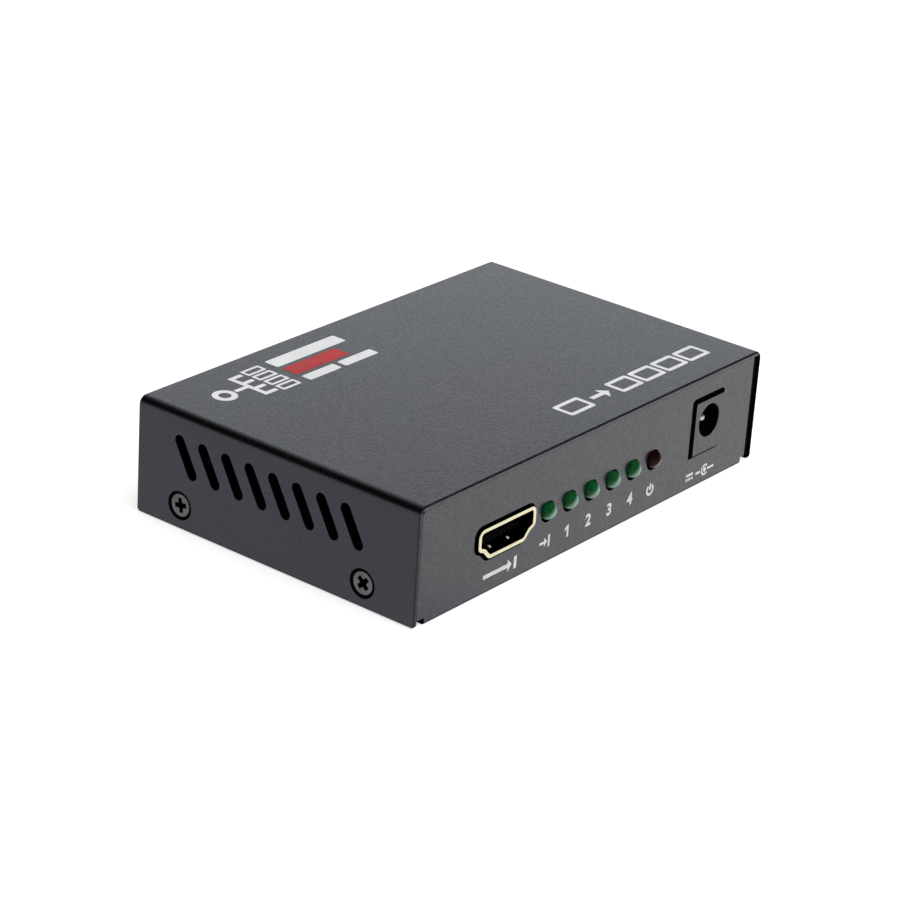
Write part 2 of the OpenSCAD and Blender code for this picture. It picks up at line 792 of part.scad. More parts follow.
module chip_heat_sink() {
    step = (chip_w - sink_fin_t) / (sink_fins - 1);
    color("#9a9da1") on_board(chip_at) translate([0, 0, chip_lift + chip_h]) {
        standing_block([chip_w, chip_w, sink_base]);
        for (i = [0:sink_fins - 1])
            translate([(i - (sink_fins - 1) / 2) * step, 0, 0])
                standing_block([sink_fin_t, chip_w, sink_h]);
    }
}

// A moulded package with flat leads: a wide tab on one side and three on the other
module voltage_regulators() {
    lead_y = -regulator_body[1] / 2 - regulator_lead[1] / 2 + eps;
    color("#1c1c1e") for (p = regulator_at) by_jack(p) {
        standing_block(regulator_body, regulator_lead[2] / 2);
        translate([0, regulator_tab[1] / 2, 0]) standing_block(regulator_tab);
        for (i = [-1:1]) translate([i * regulator_pitch, lead_y, 0]) standing_block(regulator_lead);
    }
}

module control_chip() {
    color("#1c1c1e") on_board(control_at) {
        standing_block(control_body, control_lead[2] / 2);
        for (i = [0:3]) translate([(i - 1.5) * control_pitch, 0, 0]) standing_block(control_lead);
    }
}

// A flat metal can with round ends on a thin flange
module crystal() {
    color("#c8cacc") on_board(crystal_at) {
        linear_extrude(height = crystal_rim)
            crystal_section(crystal_can[0] + 2 * crystal_rim, crystal_can[1] + 2 * crystal_rim);
        linear_extrude(height = crystal_can[2]) crystal_section(crystal_can[0], crystal_can[1]);
    }
}

module crystal_section(w, d) {
    square([w - d, d], center = true);
    for (s = [-1, 1]) translate([s * (w - d) / 2, 0]) circle(d = d);
}

// Aluminium cans on square plastic feet
module filter_capacitors() {
    color("#b4b7ba") for (p = capacitor_at) by_jack(p) {
        standing_block([capacitor_d, capacitor_d, capacitor_foot_h]);
        cylinder(h = capacitor_h, d = capacitor_d - 2 * capacitor_gap);
    }
}

module input_diode() {
    color("#1c1c1e") by_jack(diode_at) {
        standing_block(diode_body);
        standing_block(diode_tab);
    }
}

// Two small protection arrays on the board behind each socket
module surge_guards() {
    color("#1c1c1e") for (s = [-1, 1]) {
        for (x = output_xs) on_board([x + s * guard_x, guard_y]) standing_block(guard_body);
        on_board([input_x + s * guard_x, -guard_y]) standing_block(guard_body);
    }
}

// Rows of ceramic capacitors around the splitter chip
module ceramic_capacitors() {
    color("#b89b72") on_board(chip_at) for (side = [0:3], i = [-2:2])
        rotate(side * 90) translate([i * ring_pitch, chip_ring, 0]) standing_block(ceramic_body);
}

// One series resistor behind each indicator
module chip_resistors() {
    y = led_back + lead_run + resistor_run;
    color("#232325") for (x = led_xs) on_board([x, y]) standing_block(resistor_body);
}

top_cover();
base_tray();
cover_screws();
board_standoffs();
board_screws();
main_board();
socket_shell(0);  // input_socket_shell
socket_tongue(0);  // input_socket_tongue
socket_contacts(0);  // input_socket_contacts
socket_shell(1);  // output_socket_1_shell
socket_tongue(1);  // output_socket_1_tongue
socket_contacts(1);  // output_socket_1_contacts
socket_shell(2);  // output_socket_2_shell
socket_tongue(2);  // output_socket_2_tongue
socket_contacts(2);  // output_socket_2_contacts
socket_shell(3);  // output_socket_3_shell
socket_tongue(3);  // output_socket_3_tongue
socket_contacts(3);  // output_socket_3_contacts
socket_shell(4);  // output_socket_4_shell
socket_tongue(4);  // output_socket_4_tongue
socket_contacts(4);  // output_socket_4_contacts
power_jack_body();
power_jack_pin();
power_jack_spring();
power_jack_switch_tab();
led_lens(0, "#0f5a2a");  // led_input
led_lens(1, "#0f5a2a");  // led_output_1
led_lens(2, "#0f5a2a");  // led_output_2
led_lens(3, "#0f5a2a");  // led_output_3
led_lens(4, "#0f5a2a");  // led_output_4
led_lens(5, "#3a100d");  // led_power
led_leads();
splitter_chip();
splitter_chip_pins();
chip_heat_sink();
voltage_regulators();
control_chip();
crystal();
filter_capacitors();
input_diode();
surge_guards();
ceramic_capacitors();
chip_resistors();
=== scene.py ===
import math

import bmesh
import bpy
from mathutils import Matrix, Vector


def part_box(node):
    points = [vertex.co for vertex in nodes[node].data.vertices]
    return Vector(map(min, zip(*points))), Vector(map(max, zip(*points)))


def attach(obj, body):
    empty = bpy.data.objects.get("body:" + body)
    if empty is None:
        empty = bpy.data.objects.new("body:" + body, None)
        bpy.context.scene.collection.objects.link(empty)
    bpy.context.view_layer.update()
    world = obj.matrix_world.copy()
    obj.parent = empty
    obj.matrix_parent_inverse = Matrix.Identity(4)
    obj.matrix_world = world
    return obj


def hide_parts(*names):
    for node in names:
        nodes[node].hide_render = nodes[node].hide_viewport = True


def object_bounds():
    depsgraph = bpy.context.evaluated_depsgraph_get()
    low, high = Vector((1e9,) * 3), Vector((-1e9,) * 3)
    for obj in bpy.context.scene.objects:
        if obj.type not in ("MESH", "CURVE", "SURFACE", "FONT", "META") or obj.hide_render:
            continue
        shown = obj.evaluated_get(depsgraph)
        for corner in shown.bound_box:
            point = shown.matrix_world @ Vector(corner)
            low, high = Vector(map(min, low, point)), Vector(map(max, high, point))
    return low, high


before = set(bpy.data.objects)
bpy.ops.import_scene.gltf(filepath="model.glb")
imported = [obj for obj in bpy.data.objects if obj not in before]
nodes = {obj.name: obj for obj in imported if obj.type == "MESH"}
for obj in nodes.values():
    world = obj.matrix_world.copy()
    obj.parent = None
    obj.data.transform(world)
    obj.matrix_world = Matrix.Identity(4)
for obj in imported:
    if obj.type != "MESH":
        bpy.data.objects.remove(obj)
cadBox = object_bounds()
scene = bpy.context.scene
mm = 0.001  # sizes in the dictionaries are millimetres
outputs = range(1, 5)  # the numbers of the output sockets and of their lamps
print("frame loaded:", len(nodes), "nodes")


class Wire:  # a shader socket that can stand in a Python sum
    def __init__(self, graph, socket):
        self.graph = graph
        self.socket = socket

    def maths(self, operation, first, second=0.0):
        return self.graph.node("Math", {"operation": operation}, {0: first, 1: second})

    def __add__(self, other):
        return self.maths("ADD", self, other)

    def __sub__(self, other):
        return self.maths("SUBTRACT", self, other)

    def __rsub__(self, other):
        return self.maths("SUBTRACT", other, self)

    def __mul__(self, other):
        return self.maths("MULTIPLY", self, other)

    def __or__(self, other):  # the larger of two masks
        return self.maths("MAXIMUM", self, other)

    def __abs__(self):
        return self.maths("ABSOLUTE", self)

    __radd__ = __add__
    __rmul__ = __mul__


class Graph:  # the node tree of one material or of the world
    def __init__(self, owner):
        owner.use_nodes = True
        self.tree = owner.node_tree
        self.tree.nodes.clear()

    def node(self, kind, settings=None, sockets=None, out=0):
        made = self.tree.nodes.new("ShaderNode" + kind)
        for key, value in (settings or {}).items():
            setattr(made, key, value)
        for key, value in (sockets or {}).items():
            if isinstance(value, Wire):
                self.tree.links.new(value.socket, made.inputs[key])
            else:
                made.inputs[key].default_value = value
        return Wire(self, made.outputs[out]) if made.outputs else None

    def blend(self, factor, first, second):
        return self.node("Mix", {"data_type": "RGBA"}, {0: factor, 6: first, 7: second}, out=2)

    def place(self):
        return self.node("TexCoord", out="Object")

    def facing(self):
        return self.node("TexCoord", out="Normal")

    def axes(self, vector):
        return [self.node("SeparateXYZ", None, {0: vector}, out=axis) for axis in "XYZ"]

    def noise(self, size, detail=2.0, roughness=0.5):  # size is that of one grain
        sockets = {"Vector": self.place(), "Scale": 1 / (size * mm)}
        return self.node("TexNoise", None, {**sockets, "Detail": detail, "Roughness": roughness})

    def ramp(self, value, low, high, kind="LINEAR"):  # 0 at low, 1 at high
        sockets = {"Value": value, "From Min": low, "From Max": high}
        return self.node("MapRange", {"interpolation_type": kind}, sockets)

    def ease(self, value, low, high):
        return self.ramp(value, low, high, "SMOOTHSTEP")

    def over(self, value, edge, soft):  # 1 past an edge that is given in millimetres
        return self.ramp(value, edge * mm, (edge + soft) * mm)

    def under(self, value, edge, soft):  # 1 before such an edge
        return self.ramp(value, edge * mm, (edge - soft) * mm)

    def bump(self, height, depth):
        return self.node("Bump", None, {"Height": height, "Distance": depth * mm})

    def surface(self, sockets, paintedShade=None):  # the last mask is 1 where near-black painted shade covers the finish
        shader = self.node("BsdfPrincipled", None, sockets)
        if paintedShade:
            shaded = self.node("BsdfPrincipled", None, shade)
            shader = self.node("MixShader", None, {0: paintedShade, 1: shader, 2: shaded})
        self.node("OutputMaterial", None, {"Surface": shader})


def tone(red, green, blue):  # screen colour to shader colour
    def linear(level):
        share = level / 255
        return share / 12.92 if share <= 0.04045 else ((share + 0.055) / 1.055) ** 2.4
    return (linear(red), linear(green), linear(blue), 1.0)


def newFinish(name):
    made = bpy.data.materials.new(name)
    return made, Graph(made)


white = (1.0, 1.0, 1.0, 1.0)
black = (0.0, 0.0, 0.0, 1.0)
fine = (3.0, 0.6)  # detail and roughness of a fine noise
shade = {"Base Color": tone(5, 5, 5), "Roughness": 0.9, "Specular IOR Level": 0.05}

coat = {  # black powder coat with a fine grain
    "colour": tone(16, 16, 18),
    "fleck": tone(38, 39, 42),
    "fleckAt": (0.62, 0.86),
    "tint": (0.9, 0.915, 1.0, 1.0),
    "ior": 1.74,
    "gloss": 0.5,
    "glossAt": (0.3, 0.7),
    "grain": 0.4,
    "cloud": 14.0,
    "cloudShare": 0.3,
    "rough": 0.2,
    "roughSpread": 0.08,
    "relief": 0.03,
}


def coatFinish(name, paintedShadeOf):
    made, graph = newFinish(name)
    grain = graph.noise(coat["grain"], *fine)
    cloud = graph.noise(coat["cloud"])
    fleck = graph.ramp(grain + coat["cloudShare"] * cloud, *coat["fleckAt"])
    graph.surface({
        "Base Color": graph.blend(fleck, coat["colour"], coat["fleck"]),
        "Roughness": coat["rough"] + coat["roughSpread"] * (grain - 0.5),
        "Normal": graph.bump(grain, coat["relief"]),
        "Coat Weight": coat["gloss"] * graph.ramp(grain, *coat["glossAt"]),
        "Coat Roughness": coat["rough"],
        "IOR": coat["ior"],
        "Specular Tint": coat["tint"],
    }, paintedShadeOf(graph))
    return made


cover = {
    "half": 52.0,
    "top": 23.0,
    "sheet": 0.8,
    "ends": 30.0,  # slots and screw seats lie within these three
    "cutsFrom": 1.2,
    "cutsTo": 20.5,
    "soft": 0.04,
    "wallAt": (0.98, 0.97),
    "frontAt": (-0.3, -0.5),
    "turnAt": (0.3, 0.48),
    "cornerAt": (0.25, 0.48),
    # turn is the width of the painted shade on the right front edge
    "turn": 0.7,
    "bend": 0.75,  # how deep the painted shade is in the long bends, on the upright corners and on the left front edge
    "corner": 0.4,
    "rim": 0.25,
}


def coverHollow(graph):  # painted shade inside, in the slots and screw seats, on the front edges and in the bends
    x, y, z = graph.axes(graph.place())
    across, along, up = graph.axes(graph.facing())
    soft = cover["soft"]
    inner = cover["half"] - cover["sheet"] + soft
    below = cover["top"] - cover["sheet"] + soft
    inside = graph.under(abs(x), inner, soft / 2) * graph.under(z, below, soft / 2)
    walls = graph.ramp(abs(across), *cover["wallAt"]) * graph.under(abs(y), cover["ends"], soft)
    walls = walls * graph.over(z, cover["cutsFrom"], soft) * graph.under(z, cover["cutsTo"], soft)
    front = graph.ramp(along, *cover["frontAt"])
    edge = graph.over(x, inner - cover["turn"], cover["turn"]) * front
    rim = graph.under(x, soft - inner, soft) * front * cover["rim"]
    bend = graph.ramp(abs(across) * up, *cover["turnAt"]) * cover["bend"]
    corner = graph.ramp(abs(across * along), *cover["cornerAt"]) * cover["corner"]
    return inside | walls | edge | rim | bend | corner


tray = {
    "face": 32.95,
    "panel": 1.0,  # the panels lie within this of the face
    "skin": 0.07,
    "fold": 0.55,
    "soft": 0.04,
    "right": 49.6,
    "rightSoft": 0.1,
}


def trayHollow(graph):  # painted shade behind the panels, and beside the flange at their right edge
    x, y, z = graph.axes(graph.place())
    inside = graph.under(abs(y), tray["face"] - tray["skin"], tray["soft"])
    edge = graph.over(x, tray["right"] - tray["rightSoft"], tray["rightSoft"])
    return (inside | edge) * graph.over(z, tray["fold"], tray["fold"])


jack = {
    "edge": 0.06,
    "steps": 3,
    "skin": 0.12,
    "soft": 0.08,
    "facing": (0.6, 0.4),
    # foot, footEnd and footFade draw a painted shadow line at the foot of the face
    "foot": 0.32,
    "footEnd": 8.5,
    "footFade": 1.0,
}


def jackHollow(graph):  # painted shade on all but the face, and a painted shadow line at the foot of the face
    x, y, z = graph.axes(graph.place())
    _, along, _ = graph.axes(graph.facing())
    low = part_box("power_jack_body")[0] / mm
    foot = graph.under(z, low.z + jack["foot"], jack["soft"])
    foot = foot * graph.under(x, low.x + jack["footEnd"], jack["footFade"])
    behind = graph.over(y, low.y + jack["skin"], jack["soft"])
    return behind | graph.ramp(abs(along), *jack["facing"]) | foot


gold = {
    "rim": tone(252, 245, 214),
    # side and inside are painted shade: on the lip where it turns from the front, and behind the mouth
    "side": tone(120, 92, 52),
    "inside": tone(14, 10, 6),
    "plain": tone(244, 222, 160),
    "dull": tone(214, 182, 112),
    "dullAt": (0.35, 0.75),
    "plainAt": (0.4, 0.9),
    "facing": (0.3, 0.7),
    "rough": 0.16,
    "roughSpread": 0.12,
    "roughAt": 0.4,
    "grain": 0.5,
    "relief": 0.004,
    "reach": (1.0, 0.3),  # painted shade replaces the gold colour this far behind the mouth
    "paintedGlintSide": 2.6,  # painted highlights on the crests of the lower springs
    "paintedGlintBack": 1.9,
    "paintedGlintTop": 9.0,
    "paintedGlintSoft": 0.1,
    "paintedGlintRound": (0.38, 0.15),
}


def goldGrain(graph, grain):
    return {
        "Roughness": gold["rough"] + gold["roughSpread"] * (grain - gold["roughAt"]),
        "Normal": graph.bump(grain, gold["relief"]),
    }


def goldFinish():
    made, graph = newFinish("goldPlate")
    grain = graph.noise(gold["grain"], *fine)
    colour = graph.blend(graph.ramp(grain, *gold["dullAt"]), gold["plain"], gold["dull"])
    graph.surface({"Base Color": colour, "Metallic": 1.0, **goldGrain(graph, grain)})
    return made


def socketFinish(name, node):  # bright gold at the mouth, a painted highlight on two spring crests, painted shade on the sides of the lip and behind the mouth
    made, graph = newFinish(name)
    low, high = [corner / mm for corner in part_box(node)]
    mouth = max(abs(low.y), abs(high.y))
    x, y, z = graph.axes(graph.place())
    _, along, _ = graph.axes(graph.facing())
    grain = graph.noise(gold["grain"], *fine)
    reach, full = gold["reach"]
    shown = graph.over(abs(y), mouth - reach, reach - full)
    wide, narrow = gold["paintedGlintRound"]
    sideways = abs(abs(x - (low.x + high.x) / 2 * mm) - gold["paintedGlintSide"] * mm)
    lengthways = abs(abs(y) - (mouth - gold["paintedGlintBack"]) * mm)
    # a painted highlight on each spring crest, not metal so that it stays bright
    paintedGlint = graph.under(sideways, wide, wide - narrow) * graph.under(lengthways, wide, wide - narrow)
    paintedGlint = paintedGlint * graph.under(z, gold["paintedGlintTop"], gold["paintedGlintSoft"])
    rim = graph.blend(graph.ramp(grain, *gold["plainAt"]), gold["rim"], gold["plain"])
    lip = graph.blend(graph.ramp(abs(along), *gold["facing"]), gold["side"], rim)
    colour = graph.blend(paintedGlint, graph.blend(shown, gold["inside"], lip), gold["rim"])
    graph.surface({"Base Color": colour, "Metallic": 1 - paintedGlint, **goldGrain(graph, grain)})
    return made


screw = {
    "edge": 0.08,
    "steps": 3,
    "row": 21.7,  # where the heads are
    "shift": 0.5,
    "height": 4.75,
    "bright": 2.06,
    "soft": 0.2,
    "deep": 0.08,
    "out": 0.3,
}


def screwHollow(graph):  # painted shade in the cross and round the rim of a head
    x, y, z = graph.axes(graph.place())
    rise = z - screw["height"] * mm
    aside = abs(y - screw["shift"] * mm) - screw["row"] * mm
    square = rise * rise + aside * aside
    apart = square.maths("SQRT", square)
    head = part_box("cover_screws")[1].x / mm + screw["out"] - screw["deep"]
    return graph.under(abs(x), head, screw["deep"]) | graph.over(apart, screw["bright"], screw["soft"])


metal = {
    "cloud": 6.0,  # in grains
    "cloudNoise": (3.0, 0.55),
    "grainNoise": (2.0, 0.6),
    "darkAt": (0.35, 0.7),
    "roughSpread": 0.16,
    "roughAt": 0.45,
    "relief": 0.006,
}
zinc = {"colour": tone(164, 166, 161), "dark": tone(138, 140, 135), "rough": 0.3, "grain": 0.3}
screwZinc = {"colour": tone(140, 141, 135), "dark": tone(118, 119, 113), "rough": 0.3, "grain": 0.3}
tin = {"colour": tone(222, 223, 224), "dark": tone(188, 190, 192), "rough": 0.22, "grain": 0.25}
aluminium = {"colour": tone(196, 198, 201), "dark": tone(160, 163, 167), "rough": 0.36, "grain": 0.4}


def metalFinish(name, look, paintedShadeOf=None):
    made, graph = newFinish(name)
    cloud = graph.noise(metal["cloud"] * look["grain"], *metal["cloudNoise"])
    grain = graph.noise(look["grain"], *metal["grainNoise"])
    graph.surface({
        "Base Color": graph.blend(graph.ramp(cloud, *metal["darkAt"]), look["colour"], look["dark"]),
        "Metallic": 1.0,
        "Roughness": look["rough"] + metal["roughSpread"] * (grain - metal["roughAt"]),
        "Normal": graph.bump(grain, metal["relief"]),
    }, paintedShadeOf(graph) if paintedShadeOf else None)
    return made


plastic = {
    "cloud": 20.0,  # in grains
    "grainShare": 0.4,
    "lightAt": (0.5, 0.95),
    "roughSpread": 0.12,
    "relief": 0.006,
    "gloss": 0.5,
}
tongue = {"colour": tone(3, 3, 3), "light": tone(6, 6, 6), "rough": 0.7, "grain": 0.2, "gloss": 0.02}
resin = {"colour": tone(24, 24, 26), "light": tone(36, 36, 38), "rough": 0.55, "grain": 0.15}
ceramic = {"colour": tone(168, 134, 92), "light": tone(186, 156, 112), "rough": 0.45, "grain": 0.15}
whiteInk = {"colour": tone(240, 241, 242), "light": tone(228, 229, 231), "rough": 0.5, "grain": 0.2}
redInk = {"colour": tone(196, 44, 46), "light": tone(172, 34, 38), "rough": 0.5, "grain": 0.2}


def plasticFinish(name, look):
    made, graph = newFinish(name)
    grain = graph.noise(look["grain"], *fine)
    cloud = graph.noise(plastic["cloud"] * look["grain"])
    light = graph.ramp(cloud + plastic["grainShare"] * grain, *plastic["lightAt"])
    graph.surface({
        "Base Color": graph.blend(light, look["colour"], look["light"]),
        "Roughness": look["rough"] + plastic["roughSpread"] * (grain - 0.5),
        "Specular IOR Level": look.get("gloss", plastic["gloss"]),
        "Normal": graph.bump(grain, plastic["relief"]),
    })
    return made


lensGlow = {
    "from": (0.6, -0.3, -0.74),  # the painted highlight lies low on the right of each lens, on its side that faces this way
    "cloud": 0.5,
    "cloudNoise": (2.0, 0.6),
    "wobble": 0.3,
    "darkAt": (0.3, 0.7),
    "rough": 0.3,
    "roughSpread": 0.1,
    "relief": 0.008,
}
greenLens = {
    "deep": tone(9, 88, 40),
    "dark": tone(4, 56, 22),
    # glow is the colour of the painted highlight
    "glow": tone(144, 182, 156),
    "edge": (-0.28, 0.38),
    "gloss": 0.22,
}
redLens = {
    "deep": tone(36, 9, 7),
    "dark": tone(20, 5, 4),
    # glow is the colour of the painted highlight
    "glow": tone(184, 136, 128),
    "edge": (0.12, 0.6),
    "gloss": 0.1,
}


def lensFinish(name, look):
    made, graph = newFinish(name)
    cloud = graph.noise(lensGlow["cloud"], *lensGlow["cloudNoise"])
    ends = {0: graph.facing(), 1: lensGlow["from"]}
    lit = graph.node("VectorMath", {"operation": "DOT_PRODUCT"}, ends, out="Value")
    paintedHighlight = graph.ease(lit + lensGlow["wobble"] * (cloud - 0.5), *look["edge"])
    body = graph.blend(graph.ramp(cloud, *lensGlow["darkAt"]), look["deep"], look["dark"])
    graph.surface({
        "Base Color": graph.blend(paintedHighlight, body, look["glow"]),
        "Roughness": lensGlow["rough"] + lensGlow["roughSpread"] * (cloud - 0.5),
        "Specular IOR Level": look["gloss"],
        "Normal": graph.bump(cloud, lensGlow["relief"]),
    })
    return made


board = {
    "colour": tone(10, 46, 28),
    "track": tone(20, 66, 40),
    "pitch": 3.2,
    "trackAt": (0.42, 0.5),
    "grain": 0.4,
    "rough": 0.34,
    "roughSpread": 0.1,
    "relief": 0.03,
}


def boardFinish():  # solder resist with traces showing through
    made, graph = newFinish("boardResist")
    cells = {"Vector": graph.place(), "Scale": 1 / (board["pitch"] * mm)}
    track = graph.node("TexVoronoi", {"distance": "MANHATTAN", "feature": "F1"}, cells)
    lines = graph.ramp(track, *board["trackAt"])
    grain = graph.noise(board["grain"])
    graph.surface({
        "Base Color": graph.blend(lines, board["colour"], board["track"]),
        "Roughness": board["rough"] + board["roughSpread"] * grain,
        "Normal": graph.bump(lines, board["relief"]),
    })
    return made


finishes = {
    "coverCoat": coatFinish("coverCoat", coverHollow),
    "trayCoat": coatFinish("trayCoat", trayHollow),
    "jack": coatFinish("jackPlastic", jackHollow),
    "gold": goldFinish(),
    "zinc": metalFinish("zincPlate", zinc),
    "screw": metalFinish("screwPlate", screwZinc, screwHollow),
    "tin": metalFinish("tinPlate", tin),
    "aluminium": metalFinish("bareAluminium", aluminium),
    "tongue": plasticFinish("tonguePlastic", tongue),
    "resin": plasticFinish("chipResin", resin),
    "ceramic": plasticFinish("firedCeramic", ceramic),
    "greenLens": lensFinish("greenLens", greenLens),
    "redLens": lensFinish("redLens", redLens),
    "whiteInk": plasticFinish("whiteInk", whiteInk),
    "redInk": plasticFinish("redInk", redInk),
    "board": boardFinish(),
}
print("finishes made:", len(finishes))


def addPiece(name, mesh, finish, replaced=()):
    made = bpy.data.objects.new(name, mesh)
    scene.collection.objects.link(made)
    mesh.materials.clear()
    mesh.materials.append(finishes[finish])
    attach(made, "root")
    if replaced:
        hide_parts(*replaced)
    return made


def smoothMesh(name, work, angle):
    mesh = bpy.data.meshes.new(name)
    for face in work.faces:
        face.smooth = True
    work.to_mesh(mesh)
    work.free()
    mesh.set_sharp_from_angle(angle=math.radians(angle))
    return mesh


edges = {"weld": 0.001, "flat": 0.4, "sharp": 34.0, "shading": 42.0}  # the last three in degrees


def anyEdge(edge):
    return True


def softened(name, node, finish, rounds, reshape=None):
    work = bmesh.new()
    work.from_mesh(nodes[node].data)
    bmesh.ops.remove_doubles(work, verts=work.verts, dist=edges["weld"] * mm)
    flat = math.radians(edges["flat"])
    bmesh.ops.dissolve_limit(work, angle_limit=flat, verts=work.verts, edges=work.edges)
    for vert in work.verts:
        if reshape:
            reshape(vert)
    sharpFrom = math.radians(edges["sharp"])
    for radius, steps, chosen in rounds:
        sharp = [e for e in work.edges if e.is_manifold and e.calc_face_angle() > sharpFrom]
        bmesh.ops.bevel(work, geom=[e for e in sharp if chosen(e)], offset=radius * mm, segments=steps,
                        profile=0.5, affect="EDGES", clamp_overlap=False)
    made = addPiece(name, smoothMesh(name, work, edges["shading"]), finish, [node])
    shading = made.modifiers.new("evenShading", "WEIGHTED_NORMAL")
    shading.keep_sharp = True


housing = {
    "soft": 0.45,
    "softSteps": 5,
    "cut": 0.08,
    "cutSteps": 2,
    "bend": 1.7,
    "sheetHalf": 0.4,
    "panelHalf": 45.0,  # the cut-outs of the panels lie within these
    "panelFrom": 5.0,
    "panelTo": 20.0,
}


def onOutside(vert):  # on the outer skin of the cover
    x, z = abs(vert.co.x) / mm, vert.co.z / mm
    bendX, bendZ = cover["half"] - housing["bend"], cover["top"] - housing["bend"]
    if z < bendZ:
        return x > cover["half"] - housing["sheetHalf"]
    if x < bendX:
        return z > cover["top"] - housing["sheetHalf"]
    return math.hypot(x - bendX, z - bendZ) > housing["bend"] - housing["sheetHalf"]


def ofCut(vert):  # on the rim of a slot or screw hole
    y, z = abs(vert.co.y) / mm, vert.co.z / mm
    return y < cover["ends"] and cover["cutsFrom"] < z < cover["cutsTo"]


def inPanel(vert):
    x, y, z = [abs(place) / mm for place in vert.co]
    aside = x < housing["panelHalf"] and y > tray["face"] - tray["panel"]
    return aside and housing["panelFrom"] < z < housing["panelTo"]


def ofCoverRim(edge):
    return all(onOutside(vert) and not ofCut(vert) for vert in edge.verts)


def ofCoverCut(edge):
    return all(ofCut(vert) for vert in edge.verts)


def ofPanelCut(edge):
    return all(inPanel(vert) for vert in edge.verts)


def middle(node):
    low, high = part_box(node)
    return (low + high) / 2


rear = {"wide": 10.0, "high": 5.0, "across": 0.944, "up": 0.902, "aside": -0.189, "rise": 0.33}
rearMiddles = [middle(f"output_socket_{i}_shell") for i in outputs]


def closeRear(vert):  # draws the rear cut-outs closer round the sockets
    for centre in rearMiddles:
        aside, rise = vert.co.x - centre.x, vert.co.z - centre.z
        near = abs(aside) < rear["wide"] * mm and abs(rise) < rear["high"] * mm
        if near and vert.co.y > (tray["face"] - tray["panel"]) * mm:
            vert.co.x = centre.x + aside * rear["across"] + rear["aside"] * mm
            vert.co.z = centre.z + rise * rear["up"] + rear["rise"] * mm


softRound = (housing["soft"], housing["softSteps"], ofCoverRim)  # a radius, its steps and its edges
cutRound = (housing["cut"], housing["cutSteps"], ofCoverCut)
panelRound = (housing["cut"], housing["cutSteps"], ofPanelCut)
softened("coverShell", "top_cover", "coverCoat", [softRound, cutRound])
softened("trayShell", "base_tray", "trayCoat", [panelRound], closeRear)
print("housing done")

lens = {
    "radius": 1.68,
    "rim": 2.0,
    "rimDepth": 1.0,
    "chamfer": 0.12,
    "domeSteps": 14,
    "steps": 64,
    "shading": 35.0,
}


def latheMesh(name, profile, steps, place):  # profile runs from axis to axis as (radius, height)
    work = bmesh.new()
    rings = []
    turns = [math.tau * i / steps for i in range(steps)]
    for radius, height in profile:
        around = turns if radius else [0.0]
        points = [(radius * mm * math.cos(t), radius * mm * math.sin(t), height * mm) for t in around]
        rings.append([work.verts.new(point) for point in points])
    for low, high in zip(rings, rings[1:]):
        for i in range(steps):
            j = (i + 1) % steps
            corners = [low[i % len(low)], low[j % len(low)], high[j % len(high)], high[i % len(high)]]
            work.faces.new(list(dict.fromkeys(corners)))
    bmesh.ops.recalc_face_normals(work, faces=work.faces)
    bmesh.ops.transform(work, matrix=place, verts=work.verts)
    return smoothMesh(name, work, lens["shading"])


def lensProfile(length):  # from the flat back to the tip of the dome
    rim, chamfer, depth = lens["rim"], lens["chamfer"], lens["rimDepth"]
    straight = length - lens["radius"]
    points = [(0, 0), (rim - chamfer, 0), (rim, chamfer), (rim, depth - chamfer), (rim - chamfer, depth)]
    points.append((lens["radius"], depth))
    for i in range(lens["domeSteps"]):
        turn = math.pi / 2 * i / lens["domeSteps"]
        points.append((lens["radius"] * math.cos(turn), straight + lens["radius"] * math.sin(turn)))
    return points + [(0, length)]


def makeLens(node, name, finish):
    low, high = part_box(node)
    centre = middle(node)
    place = Matrix.Translation((centre.x, high.y, centre.z)) @ Matrix.Rotation(math.pi / 2, 4, "X")
    mesh = latheMesh(name, lensProfile((high.y - low.y) / mm), lens["steps"], place)
    addPiece(name, mesh, finish, [node])


makeLens("led_input", "lampInput", "greenLens")
makeLens("led_power", "lampPower", "redLens")
for i in outputs:
    makeLens(f"led_output_{i}", f"lampOutput{i}", "greenLens")
print("lamps done")

sockets = {"edge": 0.12, "steps": 3}
socketNames = ["input_socket"] + [f"output_socket_{i}" for i in outputs]
for socketName in socketNames:
    words = socketName.split("_")
    pieceName = words[0] + "".join(word.capitalize() for word in words[1:]) + "Shell"
    node = socketName + "_shell"
    finishes[pieceName] = socketFinish(pieceName, node)
    softened(pieceName, node, pieceName, [(sockets["edge"], sockets["steps"], anyEdge)])
print("sockets done")


def setOut(vert):  # heads nearly flush with the face
    vert.co.x += math.copysign(screw["out"] * mm, vert.co.x)


pin = {"edge": 0.05, "steps": 3}
jackRound = (jack["edge"], jack["steps"], anyEdge)
pinRound = (pin["edge"], pin["steps"], anyEdge)
screwRound = (screw["edge"], screw["steps"], anyEdge)
softened("jackBody", "power_jack_body", "jack", [jackRound])
softened("jackPin", "power_jack_pin", "tin", [pinRound])
softened("coverScrews", "cover_screws", "screw", [screwRound], setOut)
print("jack and screws done")

carried = {  # nodes that keep their solid and take a finish
    "tongue": [name + "_tongue" for name in socketNames],
    "gold": [name + "_contacts" for name in socketNames] + ["power_jack_spring"],
    "zinc": ["board_standoffs", "board_screws"],
    "tin": ["led_leads", "splitter_chip_pins", "power_jack_switch_tab"],
    "board": ["main_board"],
    "resin": ["splitter_chip", "voltage_regulators", "control_chip", "input_diode", "surge_guards",
              "chip_resistors"],
    "aluminium": ["chip_heat_sink", "filter_capacitors", "crystal"],
    "ceramic": ["ceramic_capacitors"],
}
for finishName, members in carried.items():
    for member in members:
        mesh = nodes[member].data
        mesh.materials.clear()
        mesh.materials.append(finishes[finishName])
print("board parts finished")

ink = {"thick": 0.03, "digit": 3.3, "bold": 0.03, "cornerSteps": 4, "ringSteps": 28}


